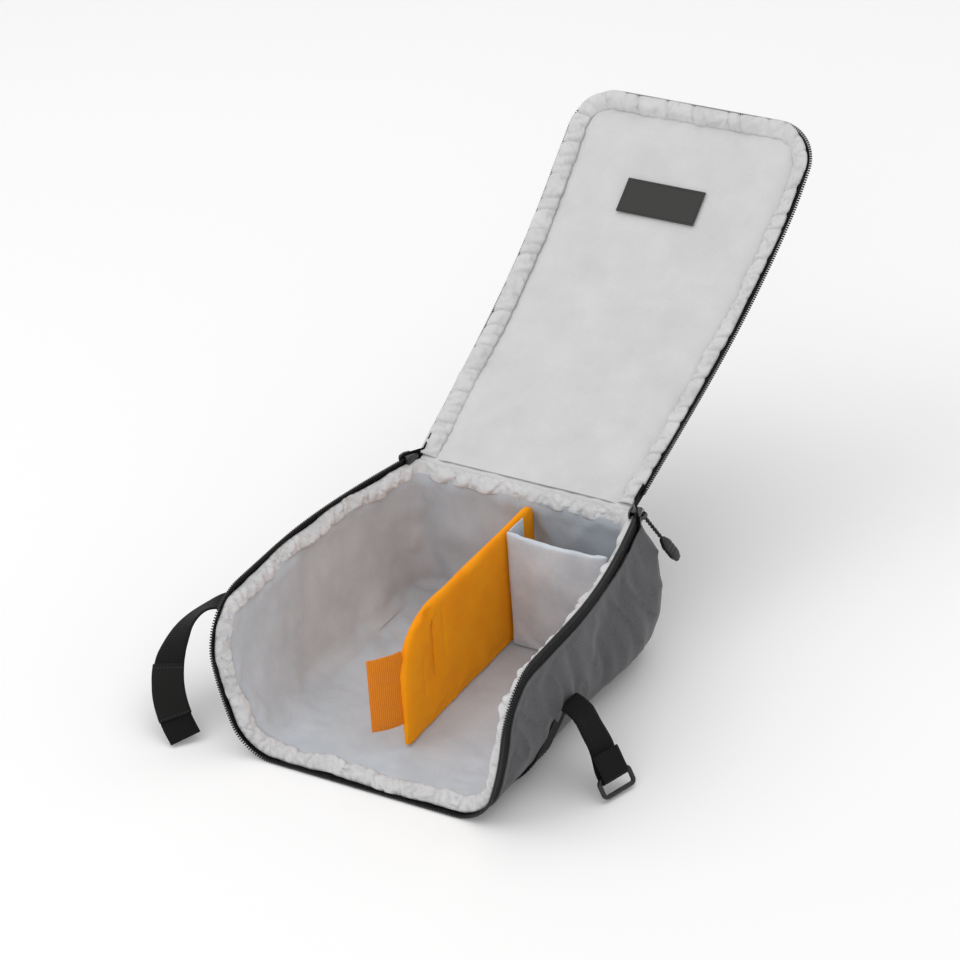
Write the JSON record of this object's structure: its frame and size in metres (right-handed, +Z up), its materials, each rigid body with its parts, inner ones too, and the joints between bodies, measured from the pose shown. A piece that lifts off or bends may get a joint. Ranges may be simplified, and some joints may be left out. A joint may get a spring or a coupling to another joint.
{
  "type": "drone carrying case",
  "caption": "Padded zipped fabric case, open at front and top, with a wrap-over hinged lid, padded inner dividers and side straps.",
  "frame": {"origin": "centre of the base's underside, on the surface it stands on", "axes": "+X to the case's right seen from its open front, +Y from the open front to the lid's hinge, +Z up"},
  "size_m": [0.3716, 0.5797, 0.2972],
  "materials": {
    "shell_fabric": "woven polyester, PU backed, matt",
    "foam_padding": "closed-cell foam, inside the seams",
    "lining_fabric": "brushed tricot, matt",
    "zip_tape": "woven zip tape",
    "zip_coil": "nylon coil",
    "webbing": "woven polypropylene webbing",
    "moulded_plastic": "moulded nylon",
    "slider_metal": "black enamel",
    "woven_label": "woven label",
    "divider_fabric": "brushed loop fabric over foam",
    "satin_fabric": "satin-faced nylon"
  },
  "bodies": {
    "case": {"base_panel": "shell_fabric", "base_foam": "foam_padding", "base_lining": "lining_fabric", "back_panel": "shell_fabric", "back_foam": "foam_padding", "back_lining": "lining_fabric", "right_side_panel": "shell_fabric", "right_side_foam": "foam_padding", "right_side_lining": "lining_fabric", "right_rim_binding": "lining_fabric", "right_zip_tape": "zip_tape", "right_zip_chain": "zip_coil", "right_strap_anchor": "webbing", "left_side_panel": "shell_fabric", "left_side_foam": "foam_padding", "left_side_lining": "lining_fabric", "left_rim_binding": "lining_fabric", "left_zip_tape": "zip_tape", "left_zip_chain": "zip_coil", "left_strap_anchor": "webbing", "front_rim_binding": "lining_fabric", "front_zip_tape": "zip_tape", "front_zip_chain": "zip_coil", "back_rim_binding": "lining_fabric", "hinge_gusset": "shell_fabric"},
    "lid": {"lid_panel": "shell_fabric", "lid_foam": "foam_padding", "lid_lining": "lining_fabric", "lid_binding": "lining_fabric", "right_lid_tape": "zip_tape", "left_lid_tape": "zip_tape", "right_lid_chain": "zip_coil", "left_lid_chain": "zip_coil"},
    "lid_flap": {"flap_panel": "shell_fabric", "flap_foam": "foam_padding", "flap_lining": "lining_fabric", "flap_binding": "lining_fabric", "flap_tape": "zip_tape", "flap_chain": "zip_coil", "lid_label": "woven_label"},
    "right_slider": {"right_slider": "slider_metal"},
    "left_slider": {"left_slider": "slider_metal"},
    "right_pull": {"right_pull_cord": "webbing", "right_pull_grip": "moulded_plastic"},
    "left_pull": {"left_pull_cord": "webbing", "left_pull_grip": "moulded_plastic"},
    "left_strap": {"left_strap_webbing": "webbing", "left_strap_label": "woven_label", "left_strap_fold": "webbing"},
    "right_strap": {"right_strap_webbing": "webbing", "right_strap_loop": "webbing"},
    "strap_ring": {"strap_ring": "moulded_plastic"},
    "long_divider": {"long_divider_cover": "divider_fabric", "long_divider_core": "foam_padding"},
    "divider_tab": {"divider_tab": "divider_fabric"},
    "cross_divider": {"cross_divider_cover": "satin_fabric", "cross_divider_core": "foam_padding", "cross_flap_left": "satin_fabric", "cross_flap_right": "satin_fabric"}
  },
  "joints": [
    {"name": "lid_hinge", "type": "hinge", "parent": "case", "child": "lid", "pos_m": [0, 0.128, 0.12], "axis": [1, 0, 0], "range_deg": [-38, 157]},
    {"name": "lid_front_flex", "type": "hinge", "parent": "lid", "child": "lid_flap", "pos_m": [0, 0.3494, 0.22301], "axis": [1, 0, 0], "range_deg": [-16, 66]},
    {"name": "right_zip_slide", "type": "slide", "parent": "case", "child": "right_slider", "axis": [0.2283, -0.9736, 0], "range_m": [0, 0.065]},
    {"name": "right_pull_swing", "type": "hinge", "parent": "right_slider", "child": "right_pull", "pos_m": [0.10405, 0.1223, 0.117], "axis": [0.2283, -0.9736, 0], "range_deg": [-20, 110]},
    {"name": "left_zip_slide", "type": "slide", "parent": "case", "child": "left_slider", "axis": [-0.2283, -0.9736, 0], "range_m": [0, 0.065]},
    {"name": "left_pull_swing", "type": "hinge", "parent": "left_slider", "child": "left_pull", "pos_m": [-0.10405, 0.1223, 0.117], "axis": [0.2283, 0.9736, 0], "range_deg": [-20, 110]},
    {"name": "left_strap_swing", "type": "hinge", "parent": "case", "child": "left_strap", "pos_m": [-0.1185, -0.036, 0.05], "axis": [0, 1, 0], "range_deg": [0, 45]},
    {"name": "right_strap_swing", "type": "hinge", "parent": "case", "child": "right_strap", "pos_m": [0.1185, -0.036, 0.05], "axis": [0, -1, 0], "range_deg": [0, 35]},
    {"name": "ring_swing", "type": "hinge", "parent": "right_strap", "child": "strap_ring", "pos_m": [0.1647, -0.051, 0.0142], "axis": [0.3102, 0.9507, 0], "range_deg": [-60, 60]},
    {"name": "long_divider_shift", "type": "slide", "parent": "case", "child": "long_divider", "axis": [-1, 0, 0], "range_m": [0, 0.04]},
    {"name": "divider_tab_hinge", "type": "hinge", "parent": "long_divider", "child": "divider_tab", "pos_m": [0.0065, -0.0803, 0.059], "axis": [0, 0, 1], "range_deg": [-105, 50]},
    {"name": "cross_divider_shift", "type": "slide", "parent": "long_divider", "child": "cross_divider", "axis": [0, -1, 0], "range_m": [0, 0.08]}
  ],
  "couplings": [
    {"joint": "lid_front_flex", "follows": "lid_hinge", "ratio": 0.414}
  ]
}
